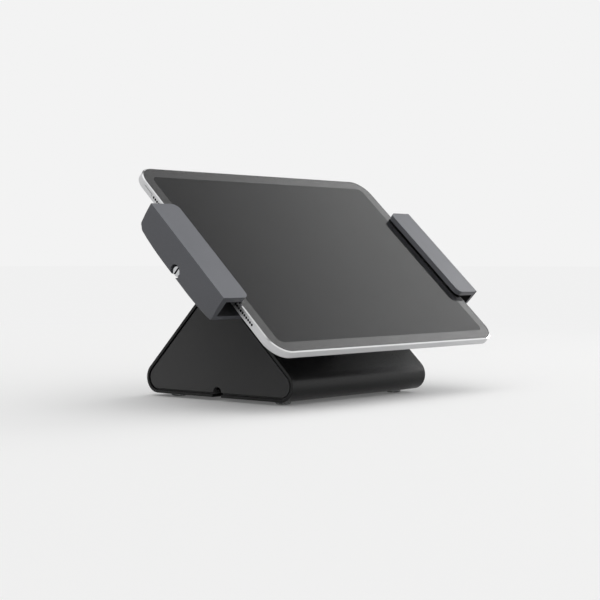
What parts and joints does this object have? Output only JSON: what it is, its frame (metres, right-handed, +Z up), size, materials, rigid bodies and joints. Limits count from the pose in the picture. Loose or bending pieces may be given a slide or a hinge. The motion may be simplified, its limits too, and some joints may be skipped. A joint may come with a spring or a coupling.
{
  "type": "tablet security kiosk stand",
  "caption": "Counter-top tablet stand: a triangular steel base holds a tablet at a slant between a fixed and a screw-driven sliding channel jaw.",
  "frame": {"origin": "centre of the four counter-bolt holes, on the underside of the base's floor; the feet reach 2.5 mm lower", "axes": "+X to the right along the tablet's long edge, +Y to the rear, +Z up; the tablet faces -Y and up"},
  "size_m": [0.2838, 0.1702, 0.161],
  "materials": {
    "powder_coated_steel": "fine matt powder coat",
    "cap_plastic": "matt moulded",
    "plain_steel": "zinc plated",
    "fastener_steel": "zinc plated",
    "clear_rubber": "clear moulded",
    "black_rubber": "matt moulded",
    "black_aluminium": "black anodised",
    "grey_aluminium": "bead-blasted and grey anodised",
    "acetal": "machined",
    "nut_brass": "machined",
    "bare_aluminium": "machined",
    "bright_steel": "ground bright",
    "tablet_aluminium": "bead-blasted silver anodised",
    "cover_glass": "polished",
    "black_border": "gloss print under the glass",
    "display_panel": "switched off",
    "battery_wrap": "foil wrap",
    "board_green": "solder mask",
    "speaker_plastic": "moulded",
    "lens_black": "lens window",
    "port_steel": "formed sheet"
  },
  "bodies": {
    "stand": {"base_shell": "powder_coated_steel", "base_floor": "powder_coated_steel", "end_cap_left": "cap_plastic", "end_cap_right": "cap_plastic", "ballast_plate": "plain_steel", "backing_plate": "plain_steel", "fixed_arm": "plain_steel", "tie_rod": "fastener_steel", "ballast_screws": "fastener_steel", "pedestal_bolts": "fastener_steel", "carrier_bolts": "fastener_steel", "cover_screws": "fastener_steel", "block_screws": "fastener_steel", "arm_screws": "fastener_steel", "rubber_feet": "clear_rubber", "cable_grommet": "black_rubber", "rest_pads": "black_rubber", "lip_pad_right": "black_rubber", "buffer_right": "black_rubber", "pedestal": "black_aluminium", "carrier_tray": "black_aluminium", "carrier_cover": "black_aluminium", "jaw_right": "grey_aluminium", "guide_block_outer": "acetal", "guide_block_inner": "acetal", "lead_nut": "nut_brass"},
    "jaw": {"jaw_left": "grey_aluminium", "slider_block": "bare_aluminium", "slider_screws": "fastener_steel", "guide_rods": "bright_steel", "lip_pad_left": "black_rubber", "buffer_left": "black_rubber"},
    "screw": {"lead_screw": "bright_steel", "screw_collar": "bright_steel"},
    "tablet": {"tablet_shell": "tablet_aluminium", "tablet_glass": "cover_glass", "tablet_bezel": "black_border", "tablet_display": "display_panel", "tablet_battery": "battery_wrap", "tablet_board": "board_green", "tablet_speakers": "speaker_plastic", "front_camera": "lens_black", "rear_camera": "lens_black", "charge_port": "port_steel"},
    "power": {"power_button": "tablet_aluminium"},
    "vol_up": {"volume_up": "tablet_aluminium"},
    "vol_down": {"volume_down": "tablet_aluminium"}
  },
  "joints": [
    {"name": "jaw_slide", "type": "slide", "parent": "stand", "child": "jaw", "axis": [-1, 0, 0], "range_m": [0, 0.034]},
    {"name": "screw_turn", "type": "hinge", "parent": "jaw", "child": "screw", "pos_m": [-0.135, -0.02539, 0.08814], "axis": [-1, 0, 0], "range_deg": [0, 6121]},
    {"name": "tablet_slide", "type": "slide", "parent": "stand", "child": "tablet", "axis": [0, 0.7314, 0.682], "range_m": [0, 0.14]},
    {"name": "power_press", "type": "slide", "parent": "tablet", "child": "power", "axis": [1, 0, 0], "range_m": [0, 0.0004], "stiffness_N_per_m": 1500},
    {"name": "volume_up_press", "type": "slide", "parent": "tablet", "child": "vol_up", "axis": [0, -0.7314, -0.682], "range_m": [0, 0.0004], "stiffness_N_per_m": 1500},
    {"name": "volume_down_press", "type": "slide", "parent": "tablet", "child": "vol_down", "axis": [0, -0.7314, -0.682], "range_m": [0, 0.0004], "stiffness_N_per_m": 1500}
  ],
  "couplings": [
    {"joint": "screw_turn", "follows": "jaw_slide", "rad_per_m": 3141.6}
  ]
}
